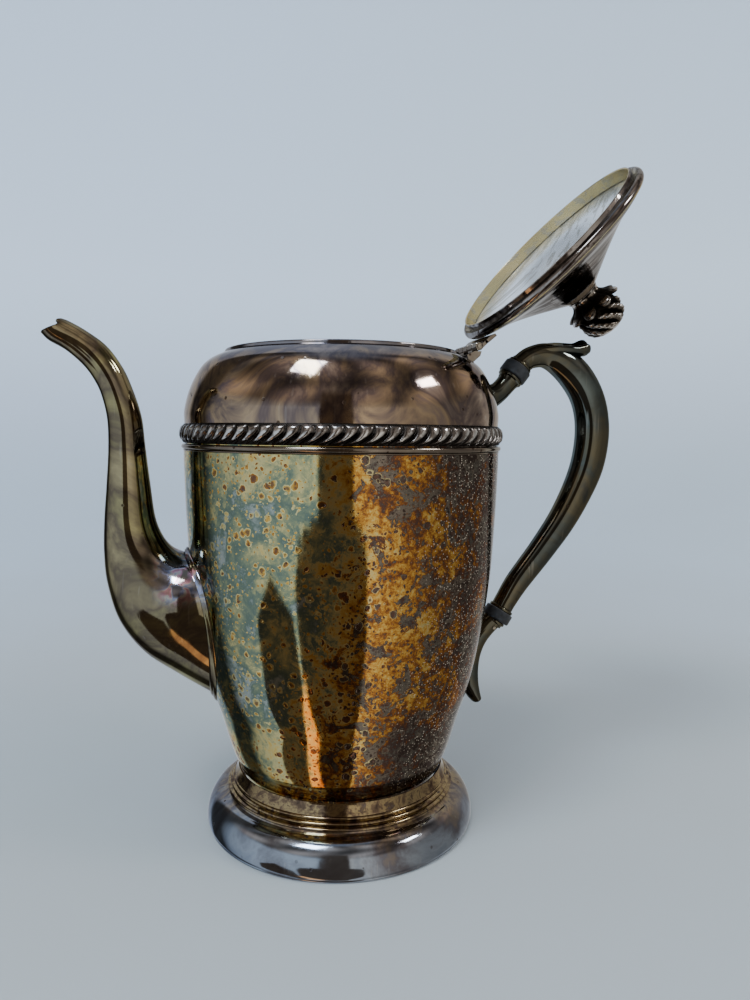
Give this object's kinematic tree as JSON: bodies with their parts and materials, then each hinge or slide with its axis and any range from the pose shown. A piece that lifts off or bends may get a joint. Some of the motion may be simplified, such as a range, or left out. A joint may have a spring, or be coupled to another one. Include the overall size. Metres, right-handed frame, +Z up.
{
  "type": "coffee pot",
  "caption": "Tall silver-plated coffee pot with a swan-neck spout, gadrooned shoulder band, spread foot, insulated scroll handle and a hinged lid with a leaf finial.",
  "frame": {"origin": "centre of the base of the bounding box with the lid open: on the surface that the foot rests on, 6.34 mm towards the handle from the pot's own axis", "axes": "+X towards the handle, -X towards the spout, +Y across the pot, +Z up"},
  "size_m": [0.2428, 0.1314, 0.2769],
  "materials": {
    "plated_body": "silver plate with heavy brown, gold and teal tarnish, polished, pitted with ringed spots",
    "plated_dome": "polished silver plate with dark brown and purple tarnish",
    "plated_border": "cast ornament, dark in the hollows and rubbed bright on the crests",
    "plated_foot": "polished silver plate with blue-grey tarnish, brown and gold on the upper mouldings",
    "plated_spout": "polished silver plate with olive and brass-coloured tarnish",
    "plated_handle": "polished silver plate with dark olive-grey tarnish",
    "plated_lid": "polished silver plate, bright outside and pale cream inside",
    "oxidised_finial": "cast and oxidised nearly black, bright on the tips",
    "insulator": "matte black moulded heat insulator",
    "pin_metal": "dull drawn rod"
  },
  "bodies": {
    "pot": {"body_shell": "plated_body", "shoulder_dome": "plated_dome", "mouth_collar": "plated_dome", "gadroon_border": "plated_border", "border_bead": "plated_border", "foot_ring": "plated_foot", "foot_rim_wire": "plated_foot", "spout": "plated_spout", "spout_flange": "plated_spout", "upper_handle_socket": "plated_handle", "lower_handle_socket": "plated_handle", "handle": "plated_handle", "upper_insulator": "insulator", "lower_insulator": "insulator", "upper_socket_pin": "pin_metal", "upper_handle_pin": "pin_metal", "lower_socket_pin": "pin_metal", "lower_handle_pin": "pin_metal", "hinge_body_leaf": "plated_dome", "hinge_pin": "pin_metal"},
    "lid": {"lid_shell": "plated_lid", "lid_bezel": "plated_lid", "finial": "oxidised_finial", "finial_stud": "pin_metal", "finial_washer": "pin_metal", "finial_nut": "pin_metal", "hinge_lid_leaf": "plated_lid"}
  },
  "joints": [
    {"name": "lid_hinge", "type": "hinge", "parent": "pot", "child": "lid", "pos_m": [0.04856, 0, 0.1984], "axis": [0, -1, 0], "range_deg": [0, 131.8]}
  ]
}
